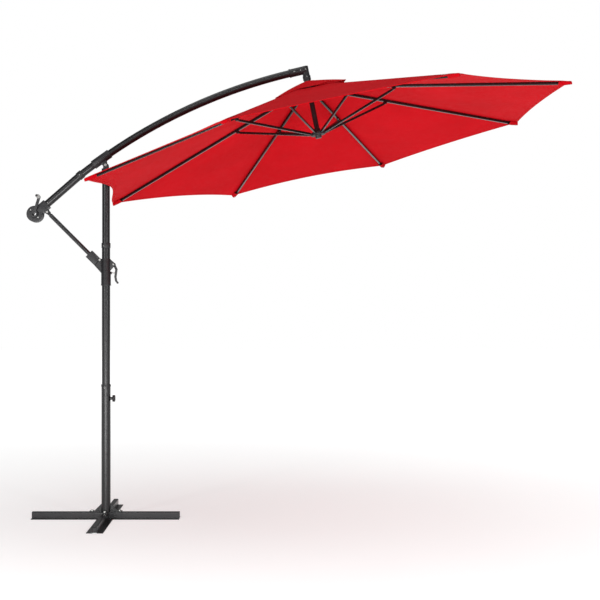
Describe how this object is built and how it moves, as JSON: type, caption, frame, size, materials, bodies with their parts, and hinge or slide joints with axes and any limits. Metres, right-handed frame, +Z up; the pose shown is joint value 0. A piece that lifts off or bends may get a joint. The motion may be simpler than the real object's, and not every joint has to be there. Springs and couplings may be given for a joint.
{
  "type": "patio umbrella with base",
  "caption": "Offset patio umbrella: cross base, swivelling mast, crank-operated curved arm with a sliding strut, and a tilted round canopy on folding ribs.",
  "frame": {"origin": "on the ground under the mast's axis, where the two legs of the base cross", "axes": "+X along the arm from the mast towards the canopy, +Z up, +Y across the arm to its left, seen from the mast"},
  "size_m": [3.1657, 2.7724, 2.7857],
  "materials": {
    "frame_steel": "satin",
    "rib_steel": "satin",
    "zinc_steel": "satin",
    "black_plastic": "satin",
    "grip_plastic": "matte",
    "canopy_fabric": "matte"
  },
  "bodies": {
    "base": {"base_leg_x": "frame_steel", "base_leg_y": "frame_steel", "base_fasteners": "zinc_steel", "foot_plate": "frame_steel", "lower_post": "frame_steel", "post_bushing": "black_plastic", "knob_boss": "frame_steel"},
    "clamp_knob": {"clamp_knob": "black_plastic"},
    "mast": {"mast_lower_tube": "frame_steel", "mast_upper_tube": "frame_steel", "mast_collar": "black_plastic", "mast_head": "black_plastic", "mast_fasteners": "zinc_steel"},
    "slider": {"slider_body": "black_plastic", "slider_liner": "black_plastic", "slider_pins": "zinc_steel"},
    "slider_lever": {"slider_lever": "black_plastic"},
    "lock_pin": {"lock_pin": "zinc_steel"},
    "strut": {"strut_tube": "frame_steel", "strut_lower_fitting": "black_plastic", "strut_upper_fitting": "black_plastic"},
    "arm": {"tail_tube": "frame_steel", "tail_collar": "black_plastic", "curved_arm_tube": "frame_steel", "arm_sleeve": "black_plastic", "elbow": "black_plastic", "arm_fasteners": "zinc_steel", "crank_housing_left": "black_plastic", "crank_housing_right": "black_plastic", "centre_pole": "frame_steel", "crown_hub": "black_plastic"},
    "crank": {"line_spool": "black_plastic", "crank_arm": "black_plastic"},
    "crank_grip": {"crank_grip": "grip_plastic"},
    "elbow_pulley": {"elbow_pulley": "black_plastic"},
    "runner": {"runner_hub": "black_plastic"},
    "rib_1": {"rib_1": "rib_steel", "canopy_panel_1": "canopy_fabric"},
    "stretcher_1": {"stretcher_1": "rib_steel"},
    "rib_2": {"rib_2": "rib_steel", "canopy_panel_2": "canopy_fabric"},
    "stretcher_2": {"stretcher_2": "rib_steel"},
    "rib_3": {"rib_3": "rib_steel", "canopy_panel_3": "canopy_fabric"},
    "stretcher_3": {"stretcher_3": "rib_steel"},
    "rib_4": {"rib_4": "rib_steel", "canopy_panel_4": "canopy_fabric"},
    "stretcher_4": {"stretcher_4": "rib_steel"},
    "rib_5": {"rib_5": "rib_steel", "canopy_panel_5": "canopy_fabric"},
    "stretcher_5": {"stretcher_5": "rib_steel"},
    "rib_6": {"rib_6": "rib_steel", "canopy_panel_6": "canopy_fabric"},
    "stretcher_6": {"stretcher_6": "rib_steel"},
    "rib_7": {"rib_7": "rib_steel", "canopy_panel_7": "canopy_fabric"},
    "stretcher_7": {"stretcher_7": "rib_steel"},
    "rib_8": {"rib_8": "rib_steel", "canopy_panel_8": "canopy_fabric"},
    "stretcher_8": {"stretcher_8": "rib_steel"}
  },
  "joints": [
    {"name": "clamp_knob_turn", "type": "hinge", "parent": "base", "child": "clamp_knob", "pos_m": [0.04, 0, 0.738], "axis": [1, 0, 0], "range_deg": [-360, 0]},
    {"name": "mast_swivel", "type": "hinge", "parent": "base", "child": "mast", "pos_m": [0, 0, 0.7], "axis": [0, 0, 1], "range_deg": [-180, 180]},
    {"name": "arm_raise", "type": "hinge", "parent": "mast", "child": "arm", "pos_m": [0, 0, 2.172], "axis": [0, -1, 0], "range_deg": [0, 18]},
    {"name": "slider_travel", "type": "slide", "parent": "mast", "child": "slider", "axis": [0, 0, 1], "range_m": [-0.18167, 0]},
    {"name": "strut_swing", "type": "hinge", "parent": "slider", "child": "strut", "pos_m": [-0.037, 0, 1.59], "axis": [0, -1, 0], "range_deg": [-18.25, 0]},
    {"name": "lever_pull", "type": "hinge", "parent": "slider", "child": "slider_lever", "pos_m": [0.0465, 0, 1.562], "axis": [0, -1, 0], "range_deg": [0, 14], "stiffness_Nm_per_rad": 1.2, "springref_deg": -6.88},
    {"name": "lock_pin_draw", "type": "slide", "parent": "slider", "child": "lock_pin", "axis": [1, 0, 0], "range_m": [0, 0.01298]},
    {"name": "crank_turn", "type": "hinge", "parent": "arm", "child": "crank", "pos_m": [-0.43461, 0, 1.87163], "axis": [0, -1, 0], "range_deg": [0, 1335.32]},
    {"name": "grip_spin", "type": "hinge", "parent": "crank", "child": "crank_grip", "pos_m": [-0.40361, -0.08, 1.973], "axis": [0, 1, 0], "continuous": true},
    {"name": "pulley_spin", "type": "hinge", "parent": "arm", "child": "elbow_pulley", "pos_m": [1.22676, 0, 2.7604], "axis": [0, 1, 0], "range_deg": [0, 2669.64]},
    {"name": "rib_1_fold", "type": "hinge", "parent": "arm", "child": "rib_1", "pos_m": [1.28445, 0.01454, 2.6509], "axis": [-0.3753, 0.9239, -0.075], "range_deg": [0, 63.35], "deforming": ["canopy_panel_1"]},
    {"name": "stretcher_1_fold", "type": "hinge", "parent": "rib_1", "child": "stretcher_1", "pos_m": [1.745, 0.19738, 2.59874], "axis": [0.3753, -0.9239, 0.075], "range_deg": [0, 126.83]},
    {"name": "rib_2_fold", "type": "hinge", "parent": "arm", "child": "rib_2", "pos_m": [1.26428, 0.03511, 2.64687], "axis": [-0.906, 0.3827, -0.181], "range_deg": [0, 63.37], "deforming": ["canopy_panel_2"]},
    {"name": "stretcher_2_fold", "type": "hinge", "parent": "rib_2", "child": "stretcher_2", "pos_m": [1.47128, 0.47651, 2.54404], "axis": [0.906, -0.3827, 0.181], "range_deg": [0, 126.83]},
    {"name": "rib_3_fold", "type": "hinge", "parent": "arm", "child": "rib_3", "pos_m": [1.23576, 0.03511, 2.64117], "axis": [-0.906, -0.3827, -0.181], "range_deg": [0, 63.37], "deforming": ["canopy_panel_3"]},
    {"name": "stretcher_3_fold", "type": "hinge", "parent": "rib_3", "child": "stretcher_3", "pos_m": [1.08418, 0.47651, 2.46669], "axis": [0.906, 0.3827, 0.181], "range_deg": [0, 126.83]},
    {"name": "rib_4_fold", "type": "hinge", "parent": "arm", "child": "rib_4", "pos_m": [1.21559, 0.01454, 2.63714], "axis": [-0.3753, -0.9239, -0.075], "range_deg": [0, 63.37], "deforming": ["canopy_panel_4"]},
    {"name": "stretcher_4_fold", "type": "hinge", "parent": "rib_4", "child": "stretcher_4", "pos_m": [0.81045, 0.19738, 2.412], "axis": [0.3753, 0.9239, 0.075], "range_deg": [0, 126.83]},
    {"name": "rib_5_fold", "type": "hinge", "parent": "arm", "child": "rib_5", "pos_m": [1.21559, -0.01454, 2.63714], "axis": [0.3753, -0.9239, 0.075], "range_deg": [0, 63.37], "deforming": ["canopy_panel_5"]},
    {"name": "stretcher_5_fold", "type": "hinge", "parent": "rib_5", "child": "stretcher_5", "pos_m": [0.81045, -0.19738, 2.412], "axis": [-0.3753, 0.9239, -0.075], "range_deg": [0, 126.83]},
    {"name": "rib_6_fold", "type": "hinge", "parent": "arm", "child": "rib_6", "pos_m": [1.23576, -0.03511, 2.64117], "axis": [0.906, -0.3827, 0.181], "range_deg": [0, 63.37], "deforming": ["canopy_panel_6"]},
    {"name": "stretcher_6_fold", "type": "hinge", "parent": "rib_6", "child": "stretcher_6", "pos_m": [1.08418, -0.47651, 2.46669], "axis": [-0.906, 0.3827, -0.181], "range_deg": [0, 126.83]},
    {"name": "rib_7_fold", "type": "hinge", "parent": "arm", "child": "rib_7", "pos_m": [1.26428, -0.03511, 2.64687], "axis": [0.906, 0.3827, 0.181], "range_deg": [0, 63.37], "deforming": ["canopy_panel_7"]},
    {"name": "stretcher_7_fold", "type": "hinge", "parent": "rib_7", "child": "stretcher_7", "pos_m": [1.47128, -0.47651, 2.54404], "axis": [-0.906, -0.3827, -0.181], "range_deg": [0, 126.83]},
    {"name": "rib_8_fold", "type": "hinge", "parent": "arm", "child": "rib_8", "pos_m": [1.28445, -0.01454, 2.6509], "axis": [0.3753, 0.9239, 0.075], "range_deg": [0, 63.37], "deforming": ["canopy_panel_8"]},
    {"name": "stretcher_8_fold", "type": "hinge", "parent": "rib_8", "child": "stretcher_8", "pos_m": [1.745, -0.19738, 2.59874], "axis": [-0.3753, -0.9239, -0.075], "range_deg": [0, 126.83]},
    {"name": "runner_travel", "type": "slide", "parent": "arm", "child": "runner", "axis": [0.1959, 0, -0.9806], "range_m": [0, 0.69915]}
  ],
  "couplings": [
    {"joint": "stretcher_1_fold", "follows": "rib_1_fold", "ratio": 2.0013},
    {"joint": "rib_2_fold", "follows": "rib_1_fold", "ratio": 1},
    {"joint": "stretcher_2_fold", "follows": "rib_1_fold", "ratio": 2.0013},
    {"joint": "rib_3_fold", "follows": "rib_1_fold", "ratio": 1},
    {"joint": "stretcher_3_fold", "follows": "rib_1_fold", "ratio": 2.0013},
    {"joint": "rib_4_fold", "follows": "rib_1_fold", "ratio": 1},
    {"joint": "stretcher_4_fold", "follows": "rib_1_fold", "ratio": 2.0013},
    {"joint": "rib_5_fold", "follows": "rib_1_fold", "ratio": 1},
    {"joint": "stretcher_5_fold", "follows": "rib_1_fold", "ratio": 2.0013},
    {"joint": "rib_6_fold", "follows": "rib_1_fold", "ratio": 1},
    {"joint": "stretcher_6_fold", "follows": "rib_1_fold", "ratio": 2.0013},
    {"joint": "rib_7_fold", "follows": "rib_1_fold", "ratio": 1},
    {"joint": "stretcher_7_fold", "follows": "rib_1_fold", "ratio": 2.0013},
    {"joint": "rib_8_fold", "follows": "rib_1_fold", "ratio": 1},
    {"joint": "stretcher_8_fold", "follows": "rib_1_fold", "ratio": 2.0013},
    {"joint": "runner_travel", "follows": "rib_1_fold", "m_per_rad": 0.63188},
    {"joint": "crank_turn", "follows": "rib_1_fold", "ratio": 21.063},
    {"joint": "pulley_spin", "follows": "rib_1_fold", "ratio": 42.125},
    {"joint": "slider_travel", "follows": "arm_raise", "m_per_rad": -0.57827},
    {"joint": "strut_swing", "follows": "arm_raise", "ratio": -1.011},
    {"joint": "lock_pin_draw", "follows": "lever_pull", "m_per_rad": 0.051484}
  ]
}
